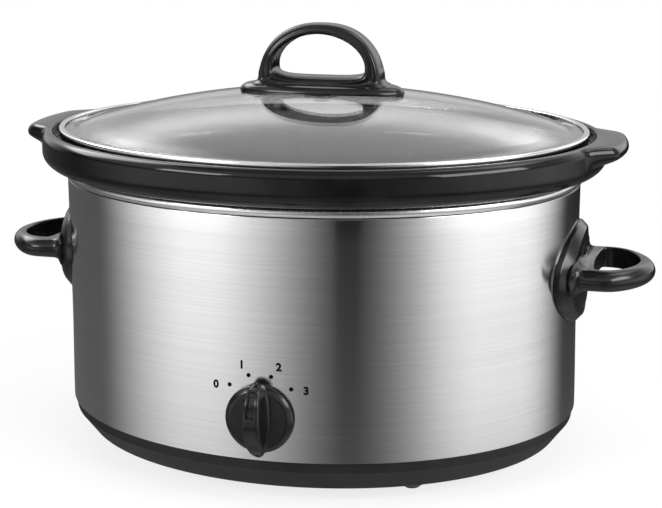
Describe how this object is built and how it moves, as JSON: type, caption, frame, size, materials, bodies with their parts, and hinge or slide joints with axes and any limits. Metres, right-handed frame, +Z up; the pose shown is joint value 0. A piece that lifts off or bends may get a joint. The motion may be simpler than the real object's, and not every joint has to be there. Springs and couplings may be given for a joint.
{
  "type": "slow cooker",
  "caption": "Oval slow cooker: steel-wrapped heating base with loop handles and a turn knob, lift-out black glazed crock with ears, and a domed glass lid with an arched handle.",
  "frame": {"origin": "on the surface it stands on, under the middle of its box, which takes in the knob in front and the crock's rim behind", "axes": "+Z up, +X towards the right-hand handle as seen from the front, -Y towards the side with the control knob"},
  "size_m": [0.414, 0.3056, 0.2617],
  "materials": {
    "brushed_steel": "satin stainless sheet, brushed along its length",
    "polished_steel": "polished stainless",
    "galvanised_steel": "dull zinc-coated sheet and fasteners",
    "black_plastic": "black moulded plastic, half gloss",
    "tray_plastic": "black moulded plastic, satin",
    "black_glaze": "black gloss glaze on stoneware",
    "clear_glass": "clear tempered glass",
    "grey_rubber": "grey rubber",
    "silicone": "pale silicone",
    "mica": "mica sheet, mid tan",
    "glass_fibre": "felted glass fibre",
    "phenolic": "brown phenolic moulding",
    "nylon": "natural nylon",
    "red_sleeve": "red lead sleeve",
    "white_sleeve": "white lead sleeve"
  },
  "bodies": {
    "heating_base": {"outer_housing": "brushed_steel", "rim_trim": "polished_steel", "heating_well": "galvanised_steel", "heater_band": "mica", "heater_strap_lower": "galvanised_steel", "heater_strap_upper": "galvanised_steel", "insulation_blanket": "glass_fibre", "base_tray": "tray_plastic", "tie_bracket": "galvanised_steel", "tie_bolt": "polished_steel", "tie_nut": "galvanised_steel", "right_handle": "black_plastic", "left_handle": "black_plastic", "right_handle_screw_1": "galvanised_steel", "right_handle_screw_2": "galvanised_steel", "left_handle_screw_1": "galvanised_steel", "left_handle_screw_2": "galvanised_steel", "rotary_switch": "phenolic", "switch_screw_1": "galvanised_steel", "switch_screw_2": "galvanised_steel", "thermal_fuse": "nylon", "fuse_clip": "galvanised_steel", "terminal_block": "nylon", "cable_gland": "tray_plastic", "gland_ring": "nylon", "switch_feed_lead": "red_sleeve", "heater_feed_lead": "red_sleeve", "heater_return_lead": "white_sleeve", "fuse_lead": "white_sleeve", "foot_1": "grey_rubber", "foot_2": "grey_rubber", "foot_3": "grey_rubber", "foot_4": "grey_rubber"},
    "control": {"control_knob": "black_plastic", "switch_shaft": "galvanised_steel"},
    "lift_out_crock": {"crock": "black_glaze"},
    "lid": {"lid_glass": "clear_glass", "lid_band": "polished_steel", "lid_handle": "black_plastic", "lid_seal": "silicone", "lid_washer": "polished_steel", "lid_screw": "polished_steel"}
  },
  "joints": [
    {"name": "knob_turn", "type": "hinge", "parent": "heating_base", "child": "control", "pos_m": [0, -0.1323, 0.0533], "axis": [0, 1, 0], "range_deg": [-45, 45]},
    {"name": "crock_lift", "type": "slide", "parent": "heating_base", "child": "lift_out_crock", "axis": [0, 0, 1], "range_m": [0, 0.18]},
    {"name": "lid_lift", "type": "slide", "parent": "lift_out_crock", "child": "lid", "axis": [0, 0, 1], "range_m": [0, 0.15]}
  ]
}
